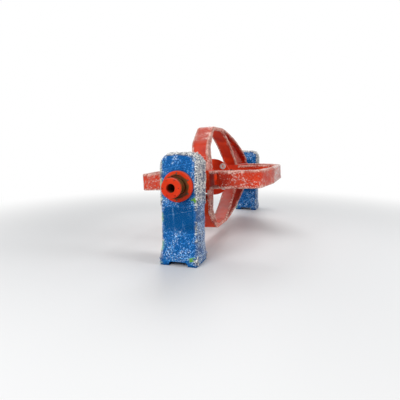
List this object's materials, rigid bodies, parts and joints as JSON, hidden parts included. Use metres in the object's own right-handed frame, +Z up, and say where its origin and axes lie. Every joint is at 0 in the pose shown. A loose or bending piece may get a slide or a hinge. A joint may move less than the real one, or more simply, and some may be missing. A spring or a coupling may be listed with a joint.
{
  "type": "cable laying-up machine",
  "caption": "Cable laying-up machine: a welded rotor of crossed loops turns between two bearing pedestals.",
  "frame": {"origin": "on the floor, under the middle of the machine", "axes": "+Y along the machine's axis from the front pedestal to the rear one, +Z up"},
  "size_m": [2.0902, 5.73, 1.9034],
  "materials": {
    "blue_paint": "gloss",
    "orange_paint": "gloss",
    "red_paint": "satin",
    "steel": "satin"
  },
  "bodies": {
    "stand": {"front_base": "blue_paint", "front_bearing": "steel", "front_bearing_head": "blue_paint", "front_column": "blue_paint", "front_inner_cover": "blue_paint", "front_outer_cover": "orange_paint", "rear_base": "blue_paint", "rear_bearing": "steel", "rear_bearing_head": "blue_paint", "rear_column": "blue_paint", "rear_inner_cover": "blue_paint", "rear_outer_cover": "orange_paint"},
    "rotor": {"front_hub": "red_paint", "front_shaft": "orange_paint", "guide_disc": "red_paint", "guide_tube": "red_paint", "left_crown": "red_paint", "left_front_leg": "red_paint", "left_rear_inner_rail": "red_paint", "left_rear_outer_rail": "red_paint", "left_rear_web": "red_paint", "lower_crown": "red_paint", "lower_front_leg": "red_paint", "lower_rear_inner_rail": "red_paint", "lower_rear_outer_rail": "red_paint", "lower_rear_web": "red_paint", "rear_hub": "red_paint", "rear_shaft": "orange_paint", "right_crown": "red_paint", "right_front_leg": "red_paint", "right_rear_inner_rail": "red_paint", "right_rear_outer_rail": "red_paint", "right_rear_web": "red_paint", "upper_crown": "red_paint", "upper_front_leg": "red_paint", "upper_rear_inner_rail": "red_paint", "upper_rear_outer_rail": "red_paint", "upper_rear_web": "red_paint"}
  },
  "joints": [
    {"name": "rotor_spin", "type": "hinge", "parent": "stand", "child": "rotor", "pos_m": [0, 0, 1.068], "axis": [0, 1, 0], "continuous": true}
  ]
}
